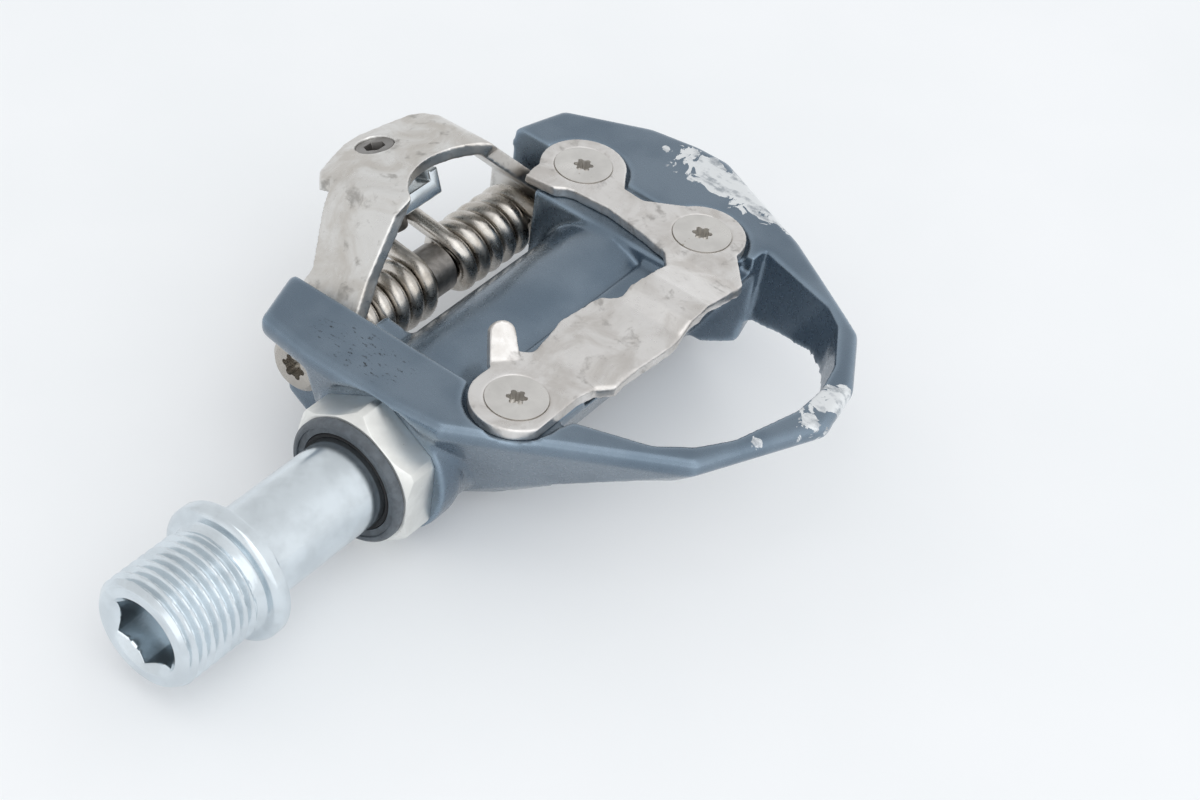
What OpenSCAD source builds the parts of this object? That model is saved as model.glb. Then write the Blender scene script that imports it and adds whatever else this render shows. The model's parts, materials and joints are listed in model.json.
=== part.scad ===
// Clipless bicycle pedal, left hand. Millimetres. +X along the spindle to the crank,
// +Y to the toe, +Z out of the cleat side. The origin is on the spindle axis at the
// crank-side face of the spindle's flange.

/* [Spindle] */
// crank thread diameter, 9/16 inch
thread_d = 14.288; // [12:0.001:18]
// crank thread pitch, 20 turns an inch
thread_pitch = 1.27; // [1:0.01:1.6]
// threaded stub, flange face to end
thread_len = 12.2; // [9:0.1:16]
// crank flange diameter
flange_d = 17.6; // [15.5:0.1:22]
// crank flange thickness
flange_t = 2.2; // [1.2:0.1:4]
// smooth shank diameter
shank_d = 11.8; // [10.8:0.1:13]
// smooth shank, flange to seal
shank_len = 18.4; // [12:0.1:26]
// hex key socket across flats
key_af = 8; // [6:0.5:8]
// hex key socket depth
key_depth = 8; // [5:0.5:10]
// journal diameter in the plain bush
journal_d = 10; // [9.4:0.1:10.6]
// axle diameter between the ball rows
axle_d = 8.6; // [7.6:0.1:9]
// threaded axle end diameter
axle_end_d = 6; // [5:0.1:6.4]

/* [Bearings] */
// ball diameter, 3/32 inch
ball_d = 2.38; // [1.9:0.01:2.5]
// diameter of the ball path
ball_path_d = 9.7; // [9.4:0.1:10.2]
// balls in a row
ball_count = 12; // [8:1:12]
// distance between the two ball rows
row_span = 31; // [20:0.5:40]
// race tube outer diameter
race_d = 13.8; // [13.2:0.1:14.4]
// plain bush length
bush_len = 11.6; // [6:0.1:16]
// plain bush wall
bush_wall = 1.2; // [0.8:0.1:1.4]

/* [Lock sleeve] */
// lock sleeve hexagon across flats
nut_af = 17; // [16:0.5:20]
// lock sleeve hexagon thickness
nut_t = 4.8; // [3:0.1:8]
// lock sleeve thread diameter
sleeve_d = 15; // [14.8:0.1:16]
// lock sleeve thread length
sleeve_len = 10; // [7:0.1:14]
// dust seal ring thickness
seal_t = 1.2; // [0.8:0.1:2]

/* [Body] */
// inboard arm width
arm_w = 8.4; // [7:0.1:12]
// gap between the two arms
window_w = 43; // [38:0.5:54]
// outboard side width
rim_w = 14.9; // [12:0.1:20]
// reach from the spindle axis to the toe
toe_y = 41.3; // [34:0.1:52]
// reach from the spindle axis to the heel end of the arms
heel_y = 22.5; // [21.5:0.1:30]
// height of the arms over the spindle axis
top_z = 10.9; // [10.6:0.1:14]
// depth of the underside below the spindle axis
base_z = 9.5; // [9.4:0.1:12]
// barrel diameter round the bearings
barrel_d = 18.8; // [18:0.1:20]

/* [Front claw] */
// claw plate thickness
plate_t = 1.6; // [1.2:0.1:2.4]
// height of the claw over the plate
claw_rise = 2.5; // [1.5:0.1:4]
// screw head diameter
head_d = 7.6; // [6:0.1:9]
// screw thread diameter
screw_d = 3.9; // [3:0.1:5]
// screw length
screw_len = 8.6; // [6:0.1:10]
// lobe round each screw
lobe_r = 5.7; // [5:0.1:7]

/* [Rear latch] */
// pivot distance behind the spindle axis
pivot_y = 17.5; // [16.6:0.1:22]
// pivot height over the spindle axis
pivot_z = 0.5; // [-2:0.1:3]
// pivot bolt diameter
pin_d = 4.4; // [3.6:0.1:4.6]
// pivot bolt head diameter
pin_head_d = 7.4; // [6:0.1:9]
// latch sheet thickness
sheet_t = 2; // [1.2:0.1:2.6]
// latch height over the pivot
latch_h = 18.4; // [16:0.1:21]
// radius of the latch ears round the pivot
ear_r = 5; // [4.7:0.1:6.2]
// height of the latch ears' bend over the pivot
knee_h = 5.3; // [4.6:0.1:8]
// pivot washer thickness
washer_t = 0.8; // [0.5:0.1:1.2]

/* [Springs] */
// spring wire diameter
wire_d = 2.4; // [1.8:0.1:2.5]
// distance between coils
coil_pitch = 2.7; // [2.6:0.1:3.2]
// full turns of a coil
coil_turns = 5; // [3:1:5]

/* [Tension screw] */
// tension screw diameter
bolt_d = 4; // [3:0.1:5]
// tension screw head diameter
bolt_head_d = 5; // [4.6:0.1:6]
// lean of the tension screw from upright, degrees
bolt_lean = 20; // [18:1:24]
// tension nut width
nut_w = 9.2; // [7:0.1:10.5]
// tension nut thickness
nut_h = 2.4; // [2:0.1:3]

/* [Hidden] */

slip = 0.03;
seat = 0.05;
eps = 0.01;

// along the spindle, from the crank inwards
seal_x = -(flange_t + shank_len);
hex_x = seal_x - seal_t;
boss_x = hex_x - nut_t;
spigot_l = 1.6;
bush_x = hex_x - spigot_l - 0.8;
sleeve_end = boss_x - sleeve_len;
race_x = sleeve_end - seat;
row1_x = race_x - 4.3;
row2_x = row1_x - row_span;
cone_l = 4;
cone_x = row2_x + cone_l * 0.43;
washer_x = cone_x - cone_l - seat;
locknut_x = washer_x - 0.8 - seat;
locknut_l = 3;
axle_end_x = locknut_x - locknut_l - 0.7;
race_end = row2_x - 4;
bore_end = axle_end_x - 1;
barrel_end = bore_end - 4;

// rings round the axis
sleeve_r = sleeve_d / 2;
race_r = race_d / 2;
race_bore_r = ball_path_d / 2 + 0.45;
groove_r = ball_d / 2 + 0.02;
bush_r = journal_d / 2 + bush_wall;
spigot_r = shank_d / 2 + 1.05;
lip_r = shank_d / 2 + 0.6;
seal_r = nut_af / 2 - 0.2;
key_r = key_af / sqrt(3);
thread_r = thread_d / 2;
thread_deep = 0.61 * thread_pitch;
thread_from = 1.8;
thread_n = floor((thread_len - thread_from - 1.1) / thread_pitch);

// body, across the pedal
x_in = boss_x - arm_w;
x_out = x_in - window_w;
x_c = (x_in + x_out) / 2;
barrel_r = barrel_d / 2;
plate_top = top_z + 0.6;
plate_low = plate_top - plate_t;
s1 = [x_in - 1, 12.3];
s2 = [x_out + 1.2, 10];
beam_y0 = 6;
front_y = s1[1] + lobe_r - 0.6;
beam_y1 = front_y;
floor_z = plate_low - 1.4;

// latch, across the pivot
py = -pivot_y;
s3 = [x_out + 0.8, py + 8.1];
ear_clear = 0.6;
pad_y = py + ear_r + ear_clear;
corner_y = py + 3.75;
pin_r = pin_d / 2;
ear_x0 = x_in - washer_t - 2 * seat;
ear_x1 = x_out + washer_t + 2 * seat;
ear_gap_x0 = ear_x0 - sheet_t;
ear_gap_x1 = ear_x1 + sheet_t;
hood_z = pivot_z + latch_h;
knee_z = pivot_z + knee_h;
ear_plate_x = ear_x1 + plate_low - knee_z - 0.3;
hood_y0 = py + 2.9;
hood_y1 = py - 8.8;
hood_fall = 2.6;
tail_run = 5.2;
tail_fall = tail_run * tan(bolt_lean);
hood_w = (ear_x0 - ear_x1) / 2 - (latch_h - knee_h - hood_fall);
pin_wall = 2.4;
head_x = x_in + pin_wall;
head_l = 1.6;
pin_end = x_out - 4.6;

// springs on the pivot bolt
wire_r = wire_d / 2;
coil_r = pin_r + 0.15 + wire_r;
coil_len = coil_turns * coil_pitch;
coil_x0 = ear_gap_x0 - wire_r - 0.5;
coil_x1 = ear_gap_x1 + wire_r + 0.5;
spacer_x0 = coil_x0 - coil_len - wire_r - 0.3;
spacer_x1 = coil_x1 + coil_len + wire_r + 0.3;
half_tilt = asin(coil_pitch / (4 * coil_r));
inner_x0 = coil_x0 - coil_len;
inner_x1 = coil_x1 + coil_len;
spring_turn = 8;
leg_out = 7.8;
ledge_from = 5.2;

// tension screw, in its own leaning frame with its top at the hood's hole
hole_run = 1.5;
lean_y = hood_y1 - hole_run;
lean_z = hood_z - hood_fall - hole_run * tan(bolt_lean);
// the nut's back bar reaches across both springs' inner legs
bar_half = inner_x0 - x_c + wire_r;
bolt_len = 12;
nut_at = -7;
key3_r = 1.25 / cos(30);
nut_low = (py - lean_y) * sin(bolt_lean) + (lean_z - pivot_z) * cos(bolt_lean) + nut_at - nut_h / 2;
leg_lean = spring_turn + bolt_lean;
leg_in = (nut_low - 0.06 - (coil_r + wire_r) * cos(leg_lean)) / sin(leg_lean);

module ext_x(x0, x1) {
    translate([x0, 0, 0]) rotate([90, 0, 90]) linear_extrude(x1 - x0) children();
}

module ext_y(y0, y1) {
    translate([0, y1, 0]) rotate([90, 0, 0]) linear_extrude(y1 - y0) children();
}

module rev_x() {
    rotate([0, 90, 0]) rotate_extrude() children();
}

// a tube between two places along X
module tube_x(x0, x1, ro, ri) {
    rev_x() translate([ri, x0]) square([ro - ri, x1 - x0]);
}

module rod_x(x0, x1, r) {
    translate([x0, 0, 0]) rotate([0, 90, 0]) cylinder(h = x1 - x0, r = r);
}

module hex_x(x0, x1, af) {
    translate([x0, 0, 0]) rotate([0, 90, 0])
        cylinder(h = x1 - x0, r = af / sqrt(3), $fn = 6);
}

module at_pivot() {
    translate([0, py, pivot_z]) children();
}

module at_screw() {
    translate([x_c, lean_y, lean_z]) rotate([bolt_lean, 0, 0]) children();
}

module thread_profile() {
    root = thread_r - thread_deep;
    half = thread_deep * tan(30);
    flat_half = 0.06;
    difference() {
        polygon([[0, -flange_t], [thread_r, -flange_t], [thread_r, 0.4],
            [root + 0.1, 0.9], [root + 0.1, thread_from - 0.5], [thread_r, thread_from],
            [thread_r, thread_len - 0.9], [root, thread_len], [0, thread_len]]);
        for (k = [0 : thread_n])
            translate([0, thread_from + 0.5 + k * thread_pitch])
                polygon([[root, -flat_half], [thread_r + eps, -half - flat_half],
                    [thread_r + eps, half + flat_half], [root, flat_half]]);
    }
}

module spindle() {
    color([0.72, 0.75, 0.78])
    difference() {
        union() {
            rev_x() thread_profile();
            rev_x() polygon([[0, -flange_t], [flange_d / 2, -flange_t],
                [flange_d / 2, -0.6], [flange_d / 2 - 0.6, 0], [0, 0]]);
            rev_x() polygon([[0, bush_x + 0.4], [journal_d / 2, bush_x + 0.4],
                [journal_d / 2, bush_x + 0.5], [shank_d / 2, bush_x + 0.7],
                [shank_d / 2, -flange_t - 1.2], [shank_d / 2 + 1, -flange_t],
                [0, -flange_t]]);
            rod_x(race_x - 0.2, bush_x + 0.4, journal_d / 2);
            rod_x(cone_x + seat, race_x - 0.2, axle_d / 2);
            rev_x() polygon([[0, axle_end_x], [axle_end_d / 2 - 0.5, axle_end_x],
                [axle_end_d / 2, axle_end_x + 0.5], [axle_end_d / 2, cone_x + seat],
                [0, cone_x + seat]]);
        }
        hex_x(thread_len - key_depth, thread_len + 1, key_af);
        rev_x() polygon([[0, thread_len - 0.6], [key_r - 0.2, thread_len - 0.6],
            [key_r + 0.5, thread_len + eps], [0, thread_len + eps]]);
        rev_x() polygon([[0, thread_len - key_depth - 1.4],
            [key_af / 2 - 0.3, thread_len - key_depth + eps],
            [0, thread_len - key_depth + eps]]);
        rev_x() translate([ball_path_d / 2, row1_x]) circle(groove_r);
    }
}

module seal_ring() {
    color([0.12, 0.14, 0.17])
    difference() {
        union() {
            rev_x() polygon([[lip_r + seat, hex_x], [seal_r, hex_x],
                [seal_r, seal_x - 0.4], [seal_r - 0.4, seal_x], [lip_r + seat, seal_x]]);
            tube_x(hex_x - spigot_l, hex_x, spigot_r, lip_r + seat);
        }
        tube_x(seal_x - 0.3, seal_x + 1, lip_r + 0.9, lip_r);
    }
}

module seal_lip() {
    color([0.05, 0.05, 0.06])
    rev_x() polygon([[shank_d / 2 + slip, seal_x - 0.9], [shank_d / 2 + slip, seal_x - 0.5],
        [lip_r - 0.1, seal_x - 0.2], [lip_r, seal_x - 0.4],
        [lip_r, hex_x - spigot_l], [lip_r - 0.25, hex_x - spigot_l],
        [lip_r - 0.25, seal_x - 1.2]]);
}

module lock_sleeve() {
    color([0.82, 0.82, 0.79])
    difference() {
        union() {
            intersection() {
                hex_x(boss_x, hex_x, nut_af);
                rev_x() polygon([[0, boss_x], [nut_af / 2 + 0.9, boss_x],
                    [nut_af / 2 + 1.05, boss_x + 0.4], [nut_af / 2 + 1.05, hex_x - 1],
                    [nut_af / 2 + 0.1, hex_x], [0, hex_x]]);
            }
            rod_x(sleeve_end, boss_x, sleeve_r);
        }
        rod_x(bush_x, hex_x + 1, spigot_r + seat);
        rod_x(sleeve_end - 1, bush_x + 1, bush_r + slip);
    }
}

module plain_bush() {
    color([0.6, 0.5, 0.3])
    tube_x(bush_x - bush_len, bush_x, bush_r, journal_d / 2 + slip);
}

module race_tube() {
    color([0.5, 0.52, 0.55])
    difference() {
        tube_x(race_end, race_x, race_r, race_bore_r);
        for (x = [row1_x, row2_x])
            rev_x() translate([ball_path_d / 2, x]) circle(groove_r);
    }
}

module ball_row(x) {
    for (k = [0 : ball_count - 1])
        rotate([k * 360 / ball_count, 0, 0])
            translate([x, 0, ball_path_d / 2]) sphere(ball_d / 2);
}

module inner_balls() {
    color([0.8, 0.82, 0.85]) ball_row(row1_x);
}

module outer_balls() {
    color([0.8, 0.82, 0.85]) ball_row(row2_x);
}

module outer_cone() {
    color([0.45, 0.46, 0.48])
    difference() {
        tube_x(cone_x - cone_l, cone_x, axle_d / 2, axle_end_d / 2 + slip);
        rev_x() translate([ball_path_d / 2, row2_x]) circle(groove_r);
    }
}

module lock_washer() {
    color([0.6, 0.62, 0.64])
    tube_x(washer_x - 0.8, washer_x, axle_d / 2 + 0.1, axle_end_d / 2 + slip);
}

module cone_locknut() {
    color([0.62, 0.64, 0.66])
    difference() {
        hex_x(locknut_x - locknut_l, locknut_x, 8);
        rod_x(locknut_x - locknut_l - 1, locknut_x + 1, axle_end_d / 2 + slip);
    }
}

// body outline at its widest
module outline() {
    polygon([[x_in + 0.6, 0.8 - heel_y], [x_in + 7, 3 - heel_y], [boss_x + 0.1, 3.5 - heel_y],
        [boss_x + 1.2, -11],
        [boss_x + 1.2, 2], [boss_x + 0.3, 8.6], [x_c + 14.3, toe_y - 7.5],
        [x_c - 2.2, toe_y], [x_c - 10.3, toe_y - 1.5], [x_out + 2.9, toe_y - 6.2],
        [x_out - rim_w / 2, 19.5], [x_out - rim_w, 3.3], [x_out - rim_w, -1.5],
        [x_out - rim_w + 1.3, -8.5], [x_out - 8, 3 - heel_y], [x_out + 0.6, 0.8 - heel_y]]);
}

module outline_top() {
    polygon([[x_in + 0.6, 1.5 - heel_y], [x_in + 6.8, 3.6 - heel_y], [boss_x - 0.6, 4.1 - heel_y],
        [boss_x + 0.5, -11],
        [boss_x + 0.5, 2], [boss_x - 0.4, 8.3], [x_c + 13.8, toe_y - 8.2],
        [x_c - 2.4, toe_y - 0.8], [x_c - 10.1, toe_y - 2.2], [x_out + 2.5, toe_y - 6.8],
        [x_out - rim_w / 2 + 0.6, 19.1], [x_out - rim_w + 0.8, 3.1],
        [x_out - rim_w + 0.8, -1.4], [x_out - rim_w + 2, -8.2],
        [x_out - 7.6, 3.8 - heel_y], [x_out + 0.6, 1.5 - heel_y]]);
}

module outline_low() {
    polygon([[x_in + 2, 3 - heel_y], [boss_x - 4, -11], [boss_x - 4.6, -2],
        [boss_x - 7.4, 5], [x_c + 9, toe_y - 21.5], [x_c - 3.5, toe_y - 16],
        [x_c - 14, toe_y - 17.5], [x_out - 2, 14], [x_out - rim_w + 6, 2],
        [x_out - rim_w + 6.4, -12], [x_out - 6.6, 2 - heel_y]]);
}

module envelope() {
    intersection() {
        hull() {
            translate([0, 0, top_z - eps]) linear_extrude(eps) outline_top();
            translate([0, 0, top_z - 2]) linear_extrude(1.3) outline();
            translate([0, 0, 2 - base_z]) linear_extrude(eps) outline_low();
        }
        ext_x(x_out - rim_w - 1, boss_x + 5)
            polygon([[-heel_y - 1, top_z + 1], [-heel_y - 1, -3.2], [-13, -base_z],
                [8, -base_z], [14, -6], [22, -0.8], [toe_y + 1, 5.6], [toe_y + 1, top_z + 1]]);
    }
}

// front loop, open top to bottom, narrowing to a straight wall below
module loop_opening() {
    hull() {
        translate([0, 0, top_z]) linear_extrude(1)
            polygon([[x_in - 2.4, beam_y1], [x_c + 15.2, toe_y - 13.2], [x_c + 11.8, toe_y - 9.4],
                [x_c + 7.6, toe_y - 6.8], [x_c - 2, toe_y - 4.2], [x_c - 7, toe_y - 4.2],
                [x_c - 12, toe_y - 5.4], [x_out + 3, toe_y - 9.2], [x_out + 0.9, toe_y - 11.9],
                [x_out - 2.6, beam_y1]]);
        translate([0, 0, -base_z - 1]) linear_extrude(base_z + 7)
            polygon([[x_in - 3.4, beam_y1], [x_c + 14.2, toe_y - 14.2], [x_c + 11, toe_y - 9.9],
                [x_c + 6.8, toe_y - 7.8], [x_c - 3, toe_y - 6.2], [x_c - 8.6, toe_y - 7],
                [x_c - 14.6, toe_y - 11.4], [x_out + 4.2, toe_y - 14.2],
                [x_out + 1.2, toe_y - 19.4], [x_out - 1, beam_y1]]);
    }
    // raked front of the cross beam
    ext_x(x_out - 1, x_in - 3.4)
        polygon([[beam_y1 + 1, floor_z + 0.4], [beam_y1 - 0.4, floor_z - 0.6],
            [beam_y1 - 9.6, -base_z - 1], [beam_y1 + 4, -base_z - 1]]);
    // raised underside of the outboard side, so its wall doesn't run out to an edge
    ext_x(x_out - rim_w - 1, x_c - 10)
        polygon([[beam_y1 - 1.9, -base_z - 1], [beam_y1 - 0.4, -0.6], [beam_y1 + 4.6, 1],
            [toe_y - 14.3, 2.4], [toe_y - 7, 3.1], [toe_y - 7, -base_z - 1]]);
}

// seats under the claw plate, grown by g all round the lobes
module seat_outline(g) {
    for (s = [s1, s2, s3])
        translate(s) circle(lobe_r + g);
    polygon([[s2[0] - 1.2 - g, s2[1] - lobe_r], [s3[0] - 1 - g, s3[1] + lobe_r - 2],
        [x_out + 8, s3[1] - lobe_r - g], [x_out + 8, s2[1] + lobe_r], [s2[0] - 1, s2[1] + lobe_r]]);
    polygon([[s1[0] + 2, s1[1] - lobe_r - g], [s1[0] - 7, s1[1] - lobe_r],
        [s1[0] - 7, beam_y1 + 3], [s1[0], s1[1] + lobe_r + g]]);
}

module pedal_body() {
    color([0.30, 0.36, 0.43])
    difference() {
        union() {
            difference() {
                envelope();
                translate([x_out, -heel_y - 2, -base_z - 1])
                    cube([window_w, heel_y + 2, base_z + top_z + 2]);
                translate([x_out, -1, floor_z])
                    cube([window_w, beam_y1 + 1.1, top_z]);
                translate([x_out - eps, -0.5, -base_z - 1])
                    cube([window_w + 2 * eps, 0.5 + beam_y0, base_z + top_z]);
            }
            rod_x(barrel_end, boss_x, barrel_r);
            spring_ledge(coil_x0 - wire_r - 0.2, coil_x0 + wire_r + 0.2);
            spring_ledge(coil_x1 - wire_r - 0.2, coil_x1 + wire_r + 0.2);
            rev_x() polygon([[0, boss_x - 5], [barrel_r, boss_x - 5],
                [barrel_r + 0.6, boss_x - 3], [barrel_r + 0.6, boss_x], [0, boss_x]]);
            difference() {
                intersection() {
                    translate([0, 0, -base_z + 3]) linear_extrude(plate_low + base_z - 3)
                        seat_outline(0);
                    envelope();
                }
                translate([x_out, pad_y - 30, -base_z]) cube([window_w, 30, 2 * top_z]);
                at_pivot() rotate([-spring_turn, 0, 0])
                    translate([coil_x1 - wire_r - 0.25, 0, 0])
                        cube([2 * wire_r + 0.5, leg_out + 0.1, coil_r + wire_r + seat]);
            }
        }
        loop_opening();
        translate([0, 0, plate_low]) linear_extrude(top_z) seat_outline(0.5);
        // seat of the lock sleeve's hexagon
        rod_x(boss_x, 0, nut_af / 2 + 1.6);
        rod_x(sleeve_end - seat, boss_x + 1, sleeve_r + seat);
        rod_x(race_end - seat, boss_x, race_r + seat);
        rod_x(bore_end, boss_x, race_r - 1);
        for (s = [s1, s2, s3])
            translate([s[0], s[1], plate_low - screw_len])
                cylinder(h = screw_len + 1, r = screw_d / 2 + seat);
        // undercut of the inboard arm, clear of the pivot bolt's head
        ext_y(-heel_y - 2, -11.5)
            polygon([[head_x, -base_z - 2], [head_x, 5], [head_x + 3.8, 7.4],
                [boss_x + 6, 7.4], [boss_x + 6, -base_z - 2]]);
        at_pivot() rod_x(pin_end - 0.2, boss_x + 6, pin_r + seat);
    }
}

// plan of the claw plate
module plate_plan() {
    translate(s2) circle(lobe_r);
    difference() {
        translate(s1) circle(lobe_r);
        translate([s1[0] - 10, front_y]) square([20, 10]);
    }
    difference() {
        translate(s3) circle(lobe_r);
        translate([ear_plate_x, corner_y - 10]) square([12, 10]);
    }
    polygon([[s1[0] - 0.5, s1[1] - lobe_r], [s1[0] - 6.4, s1[1] - 5.2],
        [s1[0] - 7.8, s1[1] - 3.7], [x_c + 10.5, 8.5], [x_c + 7, 8.1], [x_c, 9],
        [x_c - 1.3, 11], [x_c - 6, 11.5], [x_out + 11, 11.2], [x_out + 7.6, 8.6],
        [x_out + 6.6, 5], [x_out + 5.6, -1.6], [x_out + 6, -7.6], [x_out + 7.4, -9.2],
        [x_out + 8, s3[1] - 4], [x_out + 6.3, corner_y], [ear_plate_x, corner_y],
        [s3[0], s3[1] - lobe_r],
        [s3[0] - 3.6, s3[1] + 4.4], [s3[0] + 0.1, s3[1] + 6.8], [s2[0] - 0.1, s2[1] - 9.4],
        [s2[0] - 3.4, s2[1] - 4.5], [s2[0] + 0.4, s2[1] + lobe_r],
        [s2[0] + 4.8, 19.6], [x_c - 5, 20.4], [x_c + 1.4, 20.7], [x_c + 7.8, 20],
        [x_c + 11.3, 19.8], [x_c + 12.8, 18], [x_c + 15.5, front_y], [s1[0], front_y]]);
}

module front_claw_plate() {
    color([0.68, 0.65, 0.62])
    difference() {
        union() {
            intersection() {
                linear_extrude(plate_top + claw_rise + 2) plate_plan();
                ext_y(-30, toe_y)
                    polygon([[boss_x + 2, plate_low], [boss_x + 2, plate_top],
                        [x_c + 12.4, plate_top], [x_c + 9.5, plate_top + claw_rise * 0.32],
                        [x_c - 0.6, plate_top + claw_rise * 0.5],
                        [x_c - 2.6, plate_top + claw_rise], [x_c - 6.5, plate_top + claw_rise],
                        [x_c - 13.6, plate_top + 0.3], [x_c - 14.4, plate_top],
                        [x_out - 10, plate_top], [x_out - 10, plate_low],
                        [x_c - 14.6, plate_low], [x_c - 13.8, plate_low + 0.3],
                        [x_c - 6.8, plate_low + claw_rise], [x_c - 2.2, plate_low + claw_rise],
                        [x_c - 0.2, plate_low + claw_rise * 0.5],
                        [x_c + 9.6, plate_low + claw_rise * 0.32], [x_c + 12.6, plate_low]]);
            }
            // tab turned up beside the cleat
            translate([s1[0] - 4.2, s1[1] - 5.2, plate_low]) rotate([0, 0, -130])
                intersection() {
                    ext_y(-1.9, 1.9)
                        polygon([[-2, 0], [0.8, 0], [4.4, plate_t + 2.2],
                            [3, plate_t + 3.6], [-0.4, plate_t], [-2, plate_t]]);
                    translate([0.8, 0, 0]) rotate([0, -atan2(plate_t + 2.2, 3.6), 0])
                        translate([0, 0, -5]) linear_extrude(12) hull() {
                            translate([-5, -1.9]) square([5, 3.8]);
                            translate([3.6, 0]) circle(1.6, $fn = 24);
                        }
                }
        }
        for (s = [s1, s2, s3])
            translate([s[0], s[1], plate_top]) rotate_extrude()
                polygon([[0, 0.1], [head_d / 2 + seat + 0.1, 0.1], [head_d / 2 + seat, -0.25],
                    [screw_d / 2 + seat, -plate_t + 0.15], [screw_d / 2 + seat, -plate_t - 1],
                    [0, -plate_t - 1]]);
    }
}

module claw_screws() {
    color([0.72, 0.70, 0.68])
    for (s = [s1, s2, s3])
        translate([s[0], s[1], plate_top])
            difference() {
                rotate_extrude()
                    polygon([[0, 0], [head_d / 2, 0], [head_d / 2, -0.25],
                        [screw_d / 2, -plate_t + 0.15], [screw_d / 2, -plate_t - screw_len + 1],
                        [screw_d / 2 - 0.5, -plate_t - screw_len + 0.5],
                        [0, -plate_t - screw_len + 0.5]]);
                translate([0, 0, -1.5]) cylinder(h = 2, r = 0.95);
                for (k = [0 : 5])
                    rotate([0, 0, 60 * k]) translate([0.95, 0, -1.5])
                        cylinder(h = 2, r = 0.36);
            }
}

// side view of the latch's ears and top
module latch_side() {
    polygon([[py + ear_r - 0.1, pivot_z + 0.9], [py + ear_r - 0.2, pivot_z + 5],
        [py + 3.1, pivot_z + 9.5], [py + 1.8, hood_z - 2.6], [hood_y0, hood_z],
        [hood_y1, hood_z - hood_fall], [hood_y1 + 1.5, hood_z - hood_fall - 3],
        [py - 4.6, pivot_z + 8.4], [py - ear_r, pivot_z + 5], [py - ear_r, pivot_z]]);
    translate([py, pivot_z]) circle(ear_r);
}

// front view of the latch, t inside its outer face
module latch_front(t) {
    up = latch_h - knee_h + 1;
    polygon([[ear_x0 - t, pivot_z - ear_r - 1], [ear_x0 - t, knee_z - t * 0.41],
        [ear_x0 - t - up, knee_z - t * 0.41 + up], [ear_x1 + t + up, knee_z - t * 0.41 + up],
        [ear_x1 + t, knee_z - t * 0.41], [ear_x1 + t, pivot_z - ear_r - 1]]);
}

module rear_latch() {
    color([0.66, 0.62, 0.58])
    difference() {
        union() {
            difference() {
                intersection() {
                    ext_x(ear_x1 - 1, ear_x0 + 1) latch_side();
                    ext_y(py - 14, py + 12) latch_front(0);
                }
                intersection() {
                    ext_x(ear_x1 - 1, ear_x0 + 1)
                        polygon([[py + 12, pivot_z - 9], [py + 12, hood_z - sheet_t + 2],
                            [hood_y0, hood_z - sheet_t],
                            [hood_y1 - 1, hood_z - hood_fall - sheet_t - 0.23],
                            [hood_y1 - 1, pivot_z - 9]]);
                    ext_y(py - 15, py + 13) latch_front(sheet_t);
                }
            }
            // tail turned down behind the top, with the tension screw's hole
            intersection() {
                ext_x(x_c - hood_w, x_c + hood_w)
                    polygon([[hood_y1 + 0.8, hood_z - hood_fall + 0.17],
                        [hood_y1, hood_z - hood_fall],
                        [hood_y1 - tail_run, hood_z - hood_fall - tail_fall],
                        [hood_y1 - tail_run + sheet_t * sin(bolt_lean),
                            hood_z - hood_fall - tail_fall - sheet_t * cos(bolt_lean)],
                        [hood_y1 + 0.6, hood_z - hood_fall - sheet_t]]);
                linear_extrude(2 * hood_z)
                    polygon([[x_c - hood_w, hood_y1 + 2], [x_c + hood_w, hood_y1 + 2],
                        [x_c + hood_w - 0.2, hood_y1 - 1.7], [x_c + hood_w - 1.4, hood_y1 - 2.8],
                        [x_c + hood_w / 2, hood_y1 - 4.1], [x_c + 1.4, hood_y1 - tail_run],
                        [x_c - 1.4, hood_y1 - tail_run], [x_c - hood_w / 2, hood_y1 - 4.1],
                        [x_c - hood_w + 1.4, hood_y1 - 2.8],
                        [x_c - hood_w + 0.2, hood_y1 - 1.7]]);
            }
            at_screw() translate([0, 0, -3.8]) cylinder(h = 3, r = bolt_head_d / 2 + 1.1);
        }
        translate([x_c, py + 7.2, hood_z - 6]) cylinder(h = 12, r = 9.1);
        at_pivot() rod_x(ear_x1 - 1, ear_x0 + 1, pin_r + slip);
        at_screw() translate([0, 0, -2.2]) cylinder(h = 12, r = bolt_head_d / 2 + slip);
        at_screw() translate([0, 0, -6]) cylinder(h = 12, r = bolt_d / 2 + slip);
    }
}

module pivot_bolt() {
    color([0.6, 0.57, 0.54])
    at_pivot() difference() {
        union() {
            rod_x(pin_end, head_x + seat, pin_r);
            rev_x() polygon([[0, head_x + seat], [pin_head_d / 2, head_x + seat],
                [pin_head_d / 2, head_x + head_l - 0.6], [pin_head_d / 2 - 0.7, head_x + head_l],
                [0, head_x + head_l]]);
        }
        rod_x(head_x + head_l - 1.5, head_x + head_l + 1, 1.35);
        for (k = [0 : 5])
            rotate([60 * k, 0, 0]) translate([0, 1.35, 0])
                rod_x(head_x + head_l - 1.5, head_x + head_l + 1, 0.45);
    }
}

module pivot_washers() {
    color([0.55, 0.55, 0.56])
    at_pivot() {
        tube_x(x_in - seat - washer_t, x_in - seat, pin_r + 2.4, pin_r + slip);
        tube_x(x_out + seat, x_out + seat + washer_t, pin_r + 2.4, pin_r + slip);
    }
}

// half a turn of the coil, from angle 0 to 180 round X, rising along X by half a pitch
module half_turn(start) {
    rotate([start, 0, 0]) rotate([0, 90, 0])
        rotate([0, half_tilt, 0]) rotate_extrude(angle = 180)
            translate([coil_r, 0]) circle(wire_r);
}

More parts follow.
